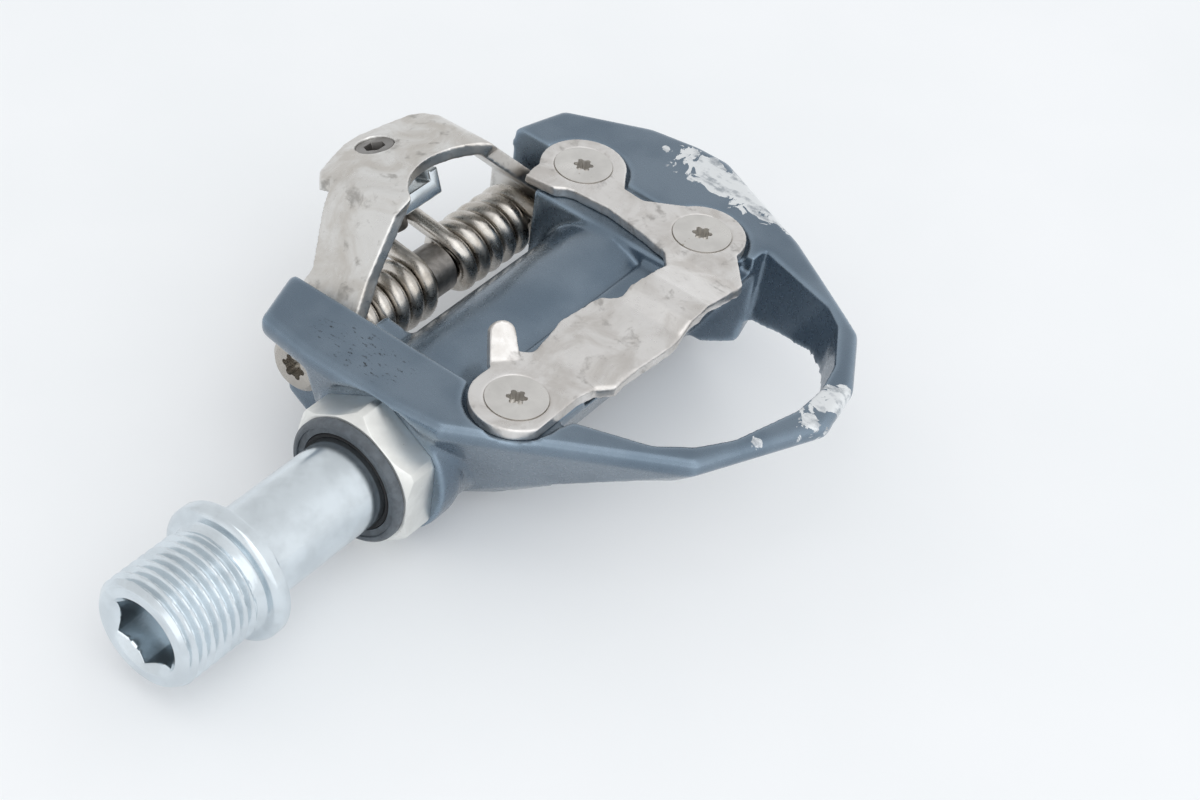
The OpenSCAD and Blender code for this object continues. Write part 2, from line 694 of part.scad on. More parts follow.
// coil from x0 towards -X, with one leg back under the tension nut at x0 and one
// forward under the body's ledge at the far end
module coil(x0) {
    rotate([-spring_turn, 0, 0]) {
        for (k = [0 : 2 * coil_turns - 1])
            translate([x0 - coil_pitch * (k / 2 + 0.25), 0, 0]) half_turn(180 * (k % 2));
        translate([x0, 0, coil_r]) rotate([90, 0, 0]) cylinder(h = leg_in, r = wire_r);
        translate([x0 - coil_len, 0, coil_r]) rotate([-90, 0, 0])
            cylinder(h = leg_out, r = wire_r);
    }
}

// ledge on the body over a spring's forward leg
module spring_ledge(x0, x1) {
    at_pivot() rotate([-spring_turn, 0, 0])
        translate([x0, ledge_from, coil_r + wire_r + seat])
            cube([x1 - x0, pivot_y - ledge_from - 6, 2.2]);
}

module spring_inboard() {
    color([0.62, 0.60, 0.57])
    at_pivot() mirror([1, 0, 0]) coil(-inner_x0);
}

module spring_outboard() {
    color([0.62, 0.60, 0.57])
    at_pivot() coil(inner_x1);
}

module spring_spacer() {
    color([0.25, 0.25, 0.26])
    at_pivot() tube_x(spacer_x1, spacer_x0, pin_r + 1.2, pin_r + slip);
}

module tension_screw() {
    color([0.5, 0.5, 0.52])
    at_screw() difference() {
        union() {
            translate([0, 0, -2.2 + slip]) cylinder(h = 1.8, r = bolt_head_d / 2);
            translate([0, 0, -bolt_len]) cylinder(h = bolt_len - 1, r = bolt_d / 2);
        }
        translate([0, 0, -1.9]) cylinder(h = 3, r = key3_r, $fn = 6);
    }
}

module tension_nut() {
    color([0.72, 0.75, 0.78])
    at_screw() difference() {
        union() {
            translate([-nut_w / 2, -4.8, nut_at - nut_h / 2]) cube([nut_w, 10.4, nut_h]);
            translate([-bar_half, -4.8, nut_at - nut_h / 2]) cube([2 * bar_half, 3, nut_h]);
            translate([-nut_w / 2, 2.4, nut_at - nut_h / 2]) cube([1.6, 3.2, nut_h + 1.3]);
        }
        translate([0, 0, nut_at - nut_h]) cylinder(h = 2 * nut_h, r = bolt_d / 2 + slip);
    }
}

spindle();
seal_ring();
seal_lip();
lock_sleeve();
plain_bush();
race_tube();
inner_balls();
outer_balls();
outer_cone();
lock_washer();
cone_locknut();
pedal_body();
front_claw_plate();
claw_screws();
rear_latch();
pivot_bolt();
pivot_washers();
spring_inboard();
spring_outboard();
spring_spacer();
tension_screw();
tension_nut();
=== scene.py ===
import json
import math

import bmesh
import bpy
import numpy as np
from mathutils import Matrix, Vector


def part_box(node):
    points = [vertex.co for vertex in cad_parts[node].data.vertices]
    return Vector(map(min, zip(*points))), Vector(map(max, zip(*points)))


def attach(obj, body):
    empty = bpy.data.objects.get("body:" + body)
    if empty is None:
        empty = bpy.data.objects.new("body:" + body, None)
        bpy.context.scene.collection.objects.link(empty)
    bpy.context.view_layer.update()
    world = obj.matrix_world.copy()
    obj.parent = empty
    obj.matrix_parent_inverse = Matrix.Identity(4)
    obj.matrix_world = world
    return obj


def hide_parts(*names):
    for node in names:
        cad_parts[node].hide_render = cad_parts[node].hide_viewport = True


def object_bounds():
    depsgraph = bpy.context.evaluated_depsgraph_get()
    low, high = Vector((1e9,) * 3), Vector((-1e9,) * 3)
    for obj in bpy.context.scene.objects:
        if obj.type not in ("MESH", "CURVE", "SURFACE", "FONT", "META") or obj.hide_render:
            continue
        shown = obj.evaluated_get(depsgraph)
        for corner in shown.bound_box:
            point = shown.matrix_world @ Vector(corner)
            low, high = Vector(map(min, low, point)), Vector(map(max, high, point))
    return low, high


# Looks for the left-hand clipless pedal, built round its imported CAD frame.
# Lengths are in millimetres and MM turns them to metres, but the lights' places are in metres.
MM = 0.001

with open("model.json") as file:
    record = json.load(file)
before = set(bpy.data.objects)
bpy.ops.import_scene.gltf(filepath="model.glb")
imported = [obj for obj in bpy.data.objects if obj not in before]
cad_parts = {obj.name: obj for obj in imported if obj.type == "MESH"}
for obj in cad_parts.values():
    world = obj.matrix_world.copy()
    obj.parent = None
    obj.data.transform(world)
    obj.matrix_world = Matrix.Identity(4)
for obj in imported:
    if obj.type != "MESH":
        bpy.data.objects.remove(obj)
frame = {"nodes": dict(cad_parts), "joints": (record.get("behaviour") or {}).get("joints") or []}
CAD_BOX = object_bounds()
JOINTS = {j["name"]: j for j in frame["joints"]}


def span(node):
    """A CAD node's lowest and highest corner, in millimetres."""
    low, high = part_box(node)
    return np.array(low) / MM, np.array(high) / MM


# ---------------------------------------------------------------- measures read from the frame

spindle_lo, spindle_hi = span("spindle")
body_lo, body_hi = span("pedal_body")
latch_lo, latch_hi = span("rear_latch")
seal_back = span("seal_ring")[0][0]
pivot = np.array(JOINTS["latch_hinge"]["pos_m"]) / MM
plate_top = span("claw_screws")[1][2]
mid_x = pivot[0]

# ---------------------------------------------------------------- mesh helpers


def link(name, mesh):
    obj = bpy.data.objects.new(name, mesh)
    bpy.context.scene.collection.objects.link(obj)
    return obj


def mesh_object(name, points, faces, smooth=True):
    """A mesh object from points in millimetres."""
    mesh = bpy.data.meshes.new(name)
    mesh.from_pydata([tuple(p) for p in np.asarray(points, float) * MM], [], faces)
    mesh.validate()
    mesh.polygons.foreach_set("use_smooth", [smooth] * len(mesh.polygons))
    mesh.update()
    return link(name, mesh)


def grid_faces(rows, columns):
    """Quads of a grid whose columns close on themselves."""
    faces = []
    for i in range(rows - 1):
        for j in range(columns):
            k = (j + 1) % columns
            here, below = i * columns, (i + 1) * columns
            faces.append((here + j, here + k, below + k, below + j))
    return faces


def lathe(name, rings, segments):
    """A closed surface of revolution about X; rings holds (x, radius or radii) in order."""
    turn = np.linspace(0, 2 * math.pi, segments, endpoint=False)
    points = []
    for x, radius in rings:
        r = np.broadcast_to(np.asarray(radius, float), turn.shape)
        points += [(x, a * math.cos(t), a * math.sin(t)) for a, t in zip(r, turn)]
    faces = grid_faces(len(rings), segments)
    for ring, tip in ((0, rings[0][0]), (len(rings) - 1, rings[-1][0])):
        points.append((tip, 0, 0))
        c = len(points) - 1
        for j in range(segments):
            k = (j + 1) % segments
            a, b = ring * segments + j, ring * segments + k
            faces.append((c, b, a) if ring == 0 else (c, a, b))
    return mesh_object(name, points, faces)


def fix_normals(obj):
    bm = bmesh.new()
    bm.from_mesh(obj.data)
    bmesh.ops.recalc_face_normals(bm, faces=bm.faces)
    bm.to_mesh(obj.data)
    bm.free()
    return obj


# A wire's rounded end: (share of its radius, share of the end's length), from the tip inward.
WIRE_END = [(0.0, -1.0), (0.35, -0.94), (0.7, -0.72), (0.9, -0.42)]
WIRE_END_LENGTH = 0.35  # of the wire's radius


def tube(name, path, radius, sides):
    """A round wire along a path of points, with rounded ends."""
    path = np.asarray(path, float)
    tangent = np.gradient(path, axis=0)
    tangent /= np.linalg.norm(tangent, axis=1)[:, None]
    up = np.cross(tangent[0], [1.0, 0.3, 0.1])
    up /= np.linalg.norm(up)
    points = []
    turn = np.linspace(0, 2 * math.pi, sides, endpoint=False)
    count = len(path)
    for i in range(count):
        up = up - tangent[i] * np.dot(up, tangent[i])
        up /= np.linalg.norm(up)
        side = np.cross(tangent[i], up)
        stations = [(1.0, 0.0)]
        if i == 0:
            stations = WIRE_END + stations
        if i == count - 1:
            stations = stations + [(s, -d) for s, d in reversed(WIRE_END)]
        for share, along in stations:
            centre = path[i] + tangent[i] * along * radius * WIRE_END_LENGTH
            for t in turn:
                points.append(centre + radius * share * (up * math.cos(t) + side * math.sin(t)))
    rows = len(points) // sides
    return fix_normals(mesh_object(name, points, grid_faces(rows, sides)))


WELD_WITHIN = 0.002
FLAT_WITHIN = math.radians(0.8)
MOST_CORNERS = 60  # a face with more is cut into triangles


def welded(node, name):
    """A copy of a CAD node whose flat faces are whole again."""
    obj = link(name, frame["nodes"][node].data.copy())
    bm = bmesh.new()
    bm.from_mesh(obj.data)
    bmesh.ops.remove_doubles(bm, verts=bm.verts, dist=WELD_WITHIN * MM)
    bmesh.ops.dissolve_limit(bm, angle_limit=FLAT_WITHIN, verts=bm.verts, edges=bm.edges)
    bmesh.ops.triangulate(bm, faces=[f for f in bm.faces if len(f.verts) > MOST_CORNERS])
    bm.to_mesh(obj.data)
    bm.free()
    return obj


def baked(obj):
    """The object with its modifiers applied."""
    bpy.context.view_layer.update()
    graph = bpy.context.evaluated_depsgraph_get()
    mesh = bpy.data.meshes.new_from_object(obj.evaluated_get(graph))
    obj.modifiers.clear()
    obj.data = mesh
    return obj


def shade_smooth(obj):
    obj.data.polygons.foreach_set("use_smooth", [True] * len(obj.data.polygons))


BEVEL_OVER = math.radians(28)
SHARP_OVER = math.radians(24)


def bevelled(node, name, width):
    """A copy of a CAD node with its edges broken."""
    obj = welded(node, name)
    mod = obj.modifiers.new("broken_edges", "BEVEL")
    mod.width = width * MM
    mod.segments = 2
    mod.limit_method = "ANGLE"
    mod.angle_limit = BEVEL_OVER
    mod.harden_normals = False
    mod.use_clamp_overlap = True
    baked(obj)
    shade_smooth(obj)
    obj.data.set_sharp_from_angle(angle=SHARP_OVER)
    return obj


def points_of(obj):
    co = np.zeros(len(obj.data.vertices) * 3, np.float32)
    obj.data.vertices.foreach_get("co", co)
    return co.reshape(-1, 3).astype(float) / MM


def set_points(obj, co):
    obj.data.vertices.foreach_set("co", (np.asarray(co) * MM).astype(np.float32).ravel())
    obj.data.update()


def relaxed(obj, co, passes, share):
    """Points moved to the mean of their neighbours; share is how far, one value or one a point."""
    edges = np.zeros(len(obj.data.edges) * 2, np.int64)
    obj.data.edges.foreach_get("vertices", edges)
    a, b = edges.reshape(-1, 2).T
    n = len(co)
    degree = np.maximum(np.bincount(a, minlength=n) + np.bincount(b, minlength=n), 1)
    share = np.broadcast_to(np.asarray(share, float), (n,))[:, None]
    for _ in range(passes):
        mean = np.stack([
            np.bincount(a, co[b, k], n) + np.bincount(b, co[a, k], n) for k in range(3)
        ], axis=1) / degree[:, None]
        co = co + (mean - co) * share
    return co


def cast_copy(node, name, voxel, passes):
    """A copy of a CAD node with an even fine mesh and softened edges."""
    obj = welded(node, name)
    mod = obj.modifiers.new("even", "REMESH")
    mod.mode = "VOXEL"
    mod.voxel_size = voxel * MM
    baked(obj)
    set_points(obj, relaxed(obj, points_of(obj), passes, 0.5))
    shade_smooth(obj)
    return obj


def mark_edges(obj, passes):
    """Stores as "proud" how far each point stands out of what is round it, in millimetres."""
    co = points_of(obj)
    normals = np.zeros(len(co) * 3, np.float32)
    obj.data.vertices.foreach_get("normal", normals)
    wide = relaxed(obj, co, passes, 0.6)
    proud = ((co - wide) * normals.reshape(-1, 3)).sum(axis=1)
    attribute = obj.data.attributes.new("proud", "FLOAT", "POINT")
    attribute.data.foreach_set("value", proud.astype(np.float32))
    return obj


# ---------------------------------------------------------------- material helpers


class Paint:
    """One node material with its Principled shader and short ways to add nodes."""

    def __init__(self, name, roughness, metallic, **sockets):
        self.material = bpy.data.materials.new(name)
        self.material.use_nodes = True
        self.tree = self.material.node_tree
        self.shader = self.tree.nodes["Principled BSDF"]
        self.set(Roughness=roughness, Metallic=metallic, **sockets)
        coordinates = self.tree.nodes.new("ShaderNodeTexCoord")
        scale = self.tree.nodes.new("ShaderNodeVectorMath")
        scale.operation = "SCALE"
        scale.inputs["Scale"].default_value = 1 / MM
        self.tree.links.new(coordinates.outputs["Object"], scale.inputs[0])
        self.place = scale.outputs[0]

    def set(self, **sockets):
        for key, value in sockets.items():
            socket = self.shader.inputs[key.replace("_", " ")]
            if isinstance(value, bpy.types.NodeSocket):
                self.tree.links.new(value, socket)
            else:
                socket.default_value = value
        return self

    def plug(self, node, index, value):
        if isinstance(value, bpy.types.NodeSocket):
            self.tree.links.new(value, node.inputs[index])
        else:
            node.inputs[index].default_value = value

    def stretched(self, scale):
        """The place with each axis scaled."""
        node = self.tree.nodes.new("ShaderNodeVectorMath")
        node.operation = "MULTIPLY"
        self.plug(node, 0, self.place)
        node.inputs[1].default_value = scale
        return node.outputs[0]

    def noise(self, scale, detail=3.0, roughness=0.55, place=None, distortion=0.0):
        node = self.tree.nodes.new("ShaderNodeTexNoise")
        self.plug(node, "Vector", self.place if place is None else place)
        node.inputs["Scale"].default_value = scale
        node.inputs["Detail"].default_value = detail
        node.inputs["Roughness"].default_value = roughness
        node.inputs["Distortion"].default_value = distortion
        return node.outputs["Fac"]

    def cells(self, scale):
        node = self.tree.nodes.new("ShaderNodeTexVoronoi")
        self.plug(node, "Vector", self.place)
        node.inputs["Scale"].default_value = scale
        return node.outputs["Distance"]

    def math(self, operation, a, b=0.0, clamp=False):
        node = self.tree.nodes.new("ShaderNodeMath")
        node.operation = operation
        node.use_clamp = clamp
        self.plug(node, 0, a)
        self.plug(node, 1, b)
        return node.outputs[0]

    def between(self, value, low, high, out_low=0.0, out_high=1.0):
        node = self.tree.nodes.new("ShaderNodeMapRange")
        node.interpolation_type = "SMOOTHSTEP"
        self.plug(node, "Value", value)
        node.inputs["From Min"].default_value = low
        node.inputs["From Max"].default_value = high
        node.inputs["To Min"].default_value = out_low
        node.inputs["To Max"].default_value = out_high
        return node.outputs["Result"]

    def mix(self, share, a, b):
        node = self.tree.nodes.new("ShaderNodeMix")
        node.data_type = "RGBA"
        self.plug(node, 0, share)
        for index, value in ((6, a), (7, b)):
            linked = isinstance(value, bpy.types.NodeSocket)
            self.plug(node, index, value if linked else (*value, 1))
        return node.outputs[2]

    def attribute(self, name):
        node = self.tree.nodes.new("ShaderNodeAttribute")
        node.attribute_name = name
        return node.outputs["Fac"]

    def near(self, centre, reach):
        """1 at a point falling to 0 at the reach, which is a size for each axis."""
        away = self.tree.nodes.new("ShaderNodeVectorMath")
        away.operation = "SUBTRACT"
        self.plug(away, 0, self.place)
        away.inputs[1].default_value = centre
        share = self.tree.nodes.new("ShaderNodeVectorMath")
        share.operation = "DIVIDE"
        self.plug(share, 0, away.outputs[0])
        share.inputs[1].default_value = reach
        length = self.tree.nodes.new("ShaderNodeVectorMath")
        length.operation = "LENGTH"
        self.plug(length, 0, share.outputs[0])
        return self.math("SUBTRACT", 1.0, length.outputs["Value"], clamp=True)

    def bump(self, *layers):
        """Bumps laid over each other; each layer is (height socket, strength, depth in mm)."""
        normal = None
        for height, strength, depth in layers:
            node = self.tree.nodes.new("ShaderNodeBump")
            node.inputs["Strength"].default_value = strength
            node.inputs["Distance"].default_value = depth * MM
            self.plug(node, "Height", height)
            if normal is not None:
                self.plug(node, "Normal", normal)
            normal = node.outputs["Normal"]
        self.tree.links.new(normal, self.shader.inputs["Normal"])
        return self


def give(obj, paint):
    obj.data.materials.clear()
    obj.data.materials.append(paint.material)


# ---------------------------------------------------------------- materials


def turned_metal(name, colour, roughness, rings=1.2,
                 stain=(0.25, 0.25, 0.26), stain_share=0.12):
    """Lathe-turned plated steel: fine rings round X, faint cloudy plating and a few dull spots."""
    m = Paint(name, roughness, 1.0)
    ring = m.noise(1.0, 4.0, 0.6, m.stretched((7.0 * rings, 0.02, 0.02)))
    cloud = m.noise(0.30, 3.0, 0.5)
    fine = m.noise(5.0, 3.0, 0.6)
    darker = tuple(c * 0.88 for c in colour)
    base = m.mix(m.between(cloud, 0.35, 0.68), colour, darker)
    spots = m.math("MULTIPLY", m.between(m.noise(1.1, 5.0, 0.6), 0.66, 0.74), stain_share)
    base = m.mix(spots, base, stain)
    rough = m.math("ADD", m.between(cloud, 0.3, 0.7, roughness * 0.85, roughness * 1.15),
                   m.between(fine, 0.35, 0.7, -0.02, 0.03))
    m.set(Base_Color=base, Roughness=rough)
    return m.bump((ring, 0.06, 0.02), (fine, 0.03, 0.01))


def brushed_steel(name, colour, tint, roughness, along=(0.35, 0.35, 6.0), smudge=0.55):
    """Stainless sheet: satin grain, warm cloudy tint, small pits and hairline scratches."""
    m = Paint(name, roughness, 1.0)
    grain = m.noise(2.4, 5.0, 0.75, m.stretched(along))
    cloud = m.noise(0.16, 5.0, 0.62, distortion=0.6)
    patch = m.noise(0.42, 4.0, 0.6, distortion=0.3)
    base = m.mix(m.between(cloud, 0.38, 0.66), colour, tint)
    shade = m.math("MULTIPLY", m.between(patch, 0.55, 0.75), smudge)
    base = m.mix(shade, base, tuple(c * 0.52 for c in tint))
    fleck = m.between(m.noise(5.0, 4.0, 0.7), 0.64, 0.72)
    base = m.mix(m.math("MULTIPLY", fleck, 0.35), base, tuple(c * 0.4 for c in tint))
    scratch = m.between(m.noise(1.3, 3.0, 0.6, m.stretched((0.3, 9.0, 1.0)), 0.4), 0.66, 0.7)
    brighter = tuple(min(1.0, c * 1.25) for c in colour)
    base = m.mix(m.math("MULTIPLY", scratch, 0.3), base, brighter)
    rough = m.math("ADD", m.between(patch, 0.3, 0.75, roughness * 0.8, roughness * 1.4),
                   m.between(grain, 0.3, 0.7, -0.05, 0.08))
    m.set(Base_Color=base, Roughness=rough)
    return m.bump((grain, 0.10, 0.03), (patch, 0.10, 0.15), (scratch, 0.10, 0.02))


def plain_part(name, colour, roughness, metallic):
    """A small hidden part: cloudy colour, fine grain."""
    m = Paint(name, roughness, metallic)
    cloud = m.noise(0.9, 4.0, 0.6)
    fine = m.noise(7.0, 3.0, 0.65)
    darker = tuple(c * 0.7 for c in colour)
    m.set(Base_Color=m.mix(m.between(cloud, 0.35, 0.65), colour, darker),
          Roughness=m.between(fine, 0.3, 0.7, roughness * 0.8, min(1.0, roughness * 1.3)))
    return m.bump((fine, 0.10, 0.03))


def painted_casting():
    """Blue-grey metallic paint under lacquer with a painted highlight along its ridges, worn to
    bare metal where the ground scrapes it.
    """
    m = Paint("metallic_paint", 0.3, 0.8, Coat_Weight=0.35, Coat_Roughness=0.12, Coat_IOR=1.5)
    drift = m.noise(0.09, 3.0, 0.5)
    flake = m.cells(14.0)
    peel = m.noise(1.2, 2.0, 0.5)
    deep, light = (0.120, 0.165, 0.215), (0.168, 0.218, 0.272)
    base = m.mix(m.between(drift, 0.35, 0.65), deep, light)
    base = m.mix(m.math("MULTIPLY", m.between(flake, 0.30, 0.05), 0.18), base, (0.30, 0.38, 0.46))
    proud = m.attribute("proud")
    # painted highlight: points that stand proud along the ridges are tinted a paler blue, as if
    # they catch the light
    ridge_highlight = m.between(proud, 0.03, 0.20)
    base = m.mix(m.math("MULTIPLY", ridge_highlight, 0.42), base, (0.36, 0.46, 0.56))

    # bare metal: along the outer wall, at the toe's corner and one spot on the inboard rail
    top, outer_wall, toe = body_hi[2], body_lo[0], body_hi[1]
    worn = [
        ((outer_wall + 4.2, 8.0, top), (5.2, 14.5, 3.4), 1.5),
        ((outer_wall + 2.6, -1.0, top - 2.0), (3.2, 5.5, 4.5), 1.0),
        ((mid_x - 5.5, toe - 2.0, top - 1.0), (7.6, 3.5, 4.2), 1.4),
        ((mid_x + 6.0, toe - 4.6, top - 0.5), (1.4, 1.1, 1.5), 1.5),
    ]
    bare = None
    for centre, reach, weight in worn:
        here = m.math("MULTIPLY", m.near(centre, reach), weight)
        bare = here if bare is None else m.math("MAXIMUM", bare, here)
    ragged = m.noise(0.34, 5.0, 0.60, distortion=0.9)
    bare = m.math("ADD", bare, m.between(ragged, 0.32, 0.68, -0.62, 0.30))
    bare = m.between(bare, 0.34, 0.40)

    chips = m.between(m.noise(0.45, 6.0, 0.65), 0.66, 0.68)
    bare = m.math("MAXIMUM", bare, m.math("MULTIPLY", chips, m.between(proud, 0.16, 0.26)))
    arm = m.near((body_hi[0] - 4.5, -6.0, top), (4.2, 9.0, 1.6))
    strokes = m.noise(1.0, 4.0, 0.7, m.stretched((2.6, 0.8, 2.0)))
    strokes = m.math("MULTIPLY", m.between(strokes, 0.60, 0.63), m.between(arm, 0.05, 0.35))
    base = m.mix(m.math("MULTIPLY", strokes, 0.85), base, (0.02, 0.025, 0.03))
    scraped = m.noise(0.7, 6.0, 0.65, m.stretched((1.0, 0.5, 1.0)))
    bare_metal = m.mix(m.between(scraped, 0.46, 0.66), (0.80, 0.82, 0.83), (0.40, 0.43, 0.46))
    base = m.mix(bare, base, bare_metal)
    rough = m.math("ADD", m.between(m.noise(1.4, 3.0, 0.5), 0.3, 0.7, 0.25, 0.33),
                   m.math("MULTIPLY", bare, 0.16))
    coat = m.math("SUBTRACT", 0.35, m.math("MULTIPLY", bare, 0.35))
    m.set(Base_Color=base, Roughness=rough, Coat_Weight=coat)
    step = m.math("SUBTRACT", 1.0, bare)
    scrapes = m.math("MULTIPLY", scraped, bare)
    return m.bump((peel, 0.03, 0.03), (step, 0.35, 0.05), (scrapes, 0.10, 0.05))


zinc = turned_metal("zinc_steel", (0.72, 0.78, 0.82), 0.21)
bright_nut = turned_metal("nickel_hexagon", (0.88, 0.88, 0.85), 0.40,
                          0.6, (0.42, 0.38, 0.32), 0.6)
paint = painted_casting()
claw_steel = brushed_steel("claw_stainless", (0.76, 0.74, 0.72), (0.60, 0.57, 0.54), 0.34,
                           smudge=0.7)
latch_steel = brushed_steel("latch_stainless", (0.76, 0.75, 0.73), (0.60, 0.57, 0.53), 0.34,
                            smudge=0.75)
screw_steel = turned_metal("screw_steel", (0.72, 0.70, 0.67), 0.33,
                           1.0, (0.30, 0.25, 0.19), 0.6)
spring_steel = brushed_steel("spring_wire", (0.66, 0.63, 0.59), (0.48, 0.44, 0.39), 0.26,
                             (1, 1, 1), 0.4)
bolt_steel = turned_metal("bolt_steel", (0.50, 0.47, 0.43), 0.30,
                          0.8, (0.16, 0.12, 0.08), 0.6)
dark_screw = turned_metal("dark_screw", (0.26, 0.25, 0.24), 0.36)
race_steel = plain_part("race_steel", (0.55, 0.56, 0.58), 0.25, 1.0)
ball_steel = plain_part("ball_steel", (0.75, 0.76, 0.78), 0.08, 1.0)
bush_bronze = plain_part("bush_bronze", (0.55, 0.42, 0.22), 0.35, 1.0)
seal_plastic = plain_part("seal_plastic", (0.105, 0.122, 0.140), 0.45, 0.0)
lip_rubber = plain_part("lip_rubber", (0.018, 0.018, 0.020), 0.6, 0.0)
spacer_steel = plain_part("spacer_steel", (0.34, 0.32, 0.30), 0.4, 1.0)

# ---------------------------------------------------------------- spindle with its left-hand thread

SPINDLE_SIDES = 192
THREAD_R = 7.144
THREAD_PITCH = 1.27
THREAD_DEEP = 0.61 * THREAD_PITCH
THREAD_FROM = 1.8
THREAD_STEP = 0.07
CREST = 0.08  # share of half a pitch that is flat on top of the thread
FLANK = 0.80  # share of half a pitch that slopes
LEAD_IN = 0.9  # length of the chamfer at the thread's start
RUN_OUT = 0.55  # length over which the thread fades out by the flange
FLANGE_R = spindle_hi[1]
FLANGE_T = 2.2
SHANK_R = 5.9
FOOT = 1.1  # the cone where the shank meets the flange
JOURNAL_R = 5.0
AXLE_R = 4.3
AXLE_END_R = 3.0
KEY_R = 4.0
KEY_DEPTH = 8.0
BUSH_GAP = 0.8
BALL_GAP = 0.02


def key_socket_rings(end, hexagon, corner):
    """The hexagon socket, from its drilled point out to its countersunk mouth."""
    bottom = end - KEY_DEPTH
    rings = [(bottom - 1.4, 0.05), (bottom, 3.6), (bottom + 0.02, hexagon * 0.985),
             (bottom + 0.15, hexagon)]
    rings += [(x, hexagon) for x in np.linspace(bottom + 0.6, end - 1.3, 6)]
    for x in np.linspace(end - 0.9, end - 0.04, 9):
        cone = corner - 0.2 + (x - (end - 0.6)) / 0.6 * 0.7
        rings.append((x, np.maximum(hexagon, cone)))
    return rings + [(end, corner + 0.56)]


def thread_rings(end, root, turn):
    """The left-hand thread from the end's face to the flange."""
    rings = [(end, root - 0.12), (end - 0.03, root - 0.03)]
    for x in np.arange(end - 0.08, 0.85, -THREAD_STEP):
        phase = ((x - THREAD_FROM) / THREAD_PITCH + turn / (2 * math.pi)) % 1.0
        shape = np.clip((np.abs(2 * phase - 1) - CREST) / FLANK, 0, 1)
        r = root + THREAD_DEEP * shape
        chamfer = root + (end - x) / LEAD_IN * THREAD_DEEP
        run_out = root + 0.1 + max(0.0, (x - 1.25) / RUN_OUT) * THREAD_DEEP
        rings.append((x, np.minimum(np.minimum(r, chamfer), min(run_out, THREAD_R))))
    return rings + [(0.8, root + 0.1), (0.5, root + 0.35), (0.3, root + 0.55),
                    (0.06, THREAD_R - 0.05), (0.0, THREAD_R + 0.1)]


def flange_rings():
    """The flange with its rounded rim, and the cone down to the shank."""
    rings = [(0.0, FLANGE_R - 0.75), (-0.08, FLANGE_R - 0.5), (-0.35, FLANGE_R - 0.18),
             (-0.62, FLANGE_R - 0.03), (-0.75, FLANGE_R), (-FLANGE_T + 0.35, FLANGE_R),
             (-FLANGE_T + 0.12, FLANGE_R - 0.08), (-FLANGE_T, FLANGE_R - 0.35),
             (-FLANGE_T, SHANK_R + FOOT)]
    for t in np.linspace(0, math.pi / 2, 7)[1:-1]:
        down = FOOT * math.sin(t)
        rings.append((-FLANGE_T - down, SHANK_R + FOOT - down))
    return rings


def axle_rings():
    """Shank, bush journal, thin axle with its ball groove, and the threaded end."""
    bush_x = seal_back - BUSH_GAP
    cone_x = span("outer_cone")[1][0]
    race_x = span("race_tube")[1][0]
    rings = [(x, SHANK_R) for x in np.linspace(-FLANGE_T - 1.2, bush_x + 0.7, 10)]
    rings += [(bush_x + 0.4, JOURNAL_R), (race_x - 0.2, JOURNAL_R), (race_x - 0.2, AXLE_R)]
    balls_lo, balls_hi = span("inner_balls")
    ball_x = (balls_lo[0] + balls_hi[0]) / 2
    ball_r = (balls_hi[0] - balls_lo[0]) / 2 + BALL_GAP
    path_r = balls_hi[1] - ball_r
    half = math.sqrt(ball_r ** 2 - (path_r - AXLE_R) ** 2)
    for x in np.linspace(ball_x + half, ball_x - half, 13):
        rings.append((x, path_r - math.sqrt(max(ball_r ** 2 - (x - ball_x) ** 2, 0))))
    end = spindle_lo[0]
    return rings + [(cone_x + 0.05, AXLE_R), (cone_x + 0.05, AXLE_END_R),
                    (end + 0.5, AXLE_END_R), (end, AXLE_END_R - 0.5), (end, 0.5)]


def make_spindle():
    turn = np.linspace(0, 2 * math.pi, SPINDLE_SIDES, endpoint=False)
    end = spindle_hi[0]
    sixth = math.pi / 3
    hexagon = KEY_R / np.cos((turn + sixth / 2) % sixth - sixth / 2)
    rings = key_socket_rings(end, hexagon, KEY_R / math.cos(sixth / 2))
    rings += thread_rings(end, THREAD_R - THREAD_DEEP, turn)
    rings += flange_rings() + axle_rings()
    obj = fix_normals(lathe("spindle_turned", rings, SPINDLE_SIDES))
    obj.data.set_sharp_from_angle(angle=math.radians(42))
    return obj


spindle = make_spindle()
give(spindle, zinc)
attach(spindle, "spindle_unit")
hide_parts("spindle")

# ---------------------------------------------------------------- springs

WIRE_R = 1.2
COIL_R = 3.55
COIL_TURNS = 5
SPRING_TURN = math.radians(8)
LEG_OUT = 7.8
STEPS_A_TURN = 36


def leg_in_of(node):
    """How far the inner leg reaches back, read from the CAD spring's box."""
    reach = pivot[1] - span(node)[0][1]
    return (reach - COIL_R * math.sin(SPRING_TURN)) / math.cos(SPRING_TURN) + WIRE_R * 0.1


def make_spring(name, node, inner_x, outer_x):
    """A torsion spring round the pivot: one leg back under the tension nut, one forward."""
    leg_in = leg_in_of(node)
    turn = np.linspace(0, 2 * math.pi * COIL_TURNS, STEPS_A_TURN * COIL_TURNS + 1)
    coil = np.stack([inner_x + (outer_x - inner_x) * turn / turn[-1],
                     COIL_R * np.sin(turn), COIL_R * np.cos(turn)], axis=1)
    back = [(inner_x, -d, COIL_R) for d in np.linspace(leg_in, 0, 9)[:-1]]
    front = [(outer_x, d, COIL_R) for d in np.linspace(0, LEG_OUT, 9)[1:]]
    path = np.array(back + [tuple(p) for p in coil] + front)
    c, s = math.cos(-SPRING_TURN), math.sin(-SPRING_TURN)
    y, z = path[:, 1].copy(), path[:, 2].copy()
    path[:, 1] = y * c - z * s + pivot[1]
    path[:, 2] = y * s + z * c + pivot[2]
    obj = tube(name, path, WIRE_R, 24)
    give(obj, spring_steel)
    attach(obj, "pedal")
    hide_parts(node)


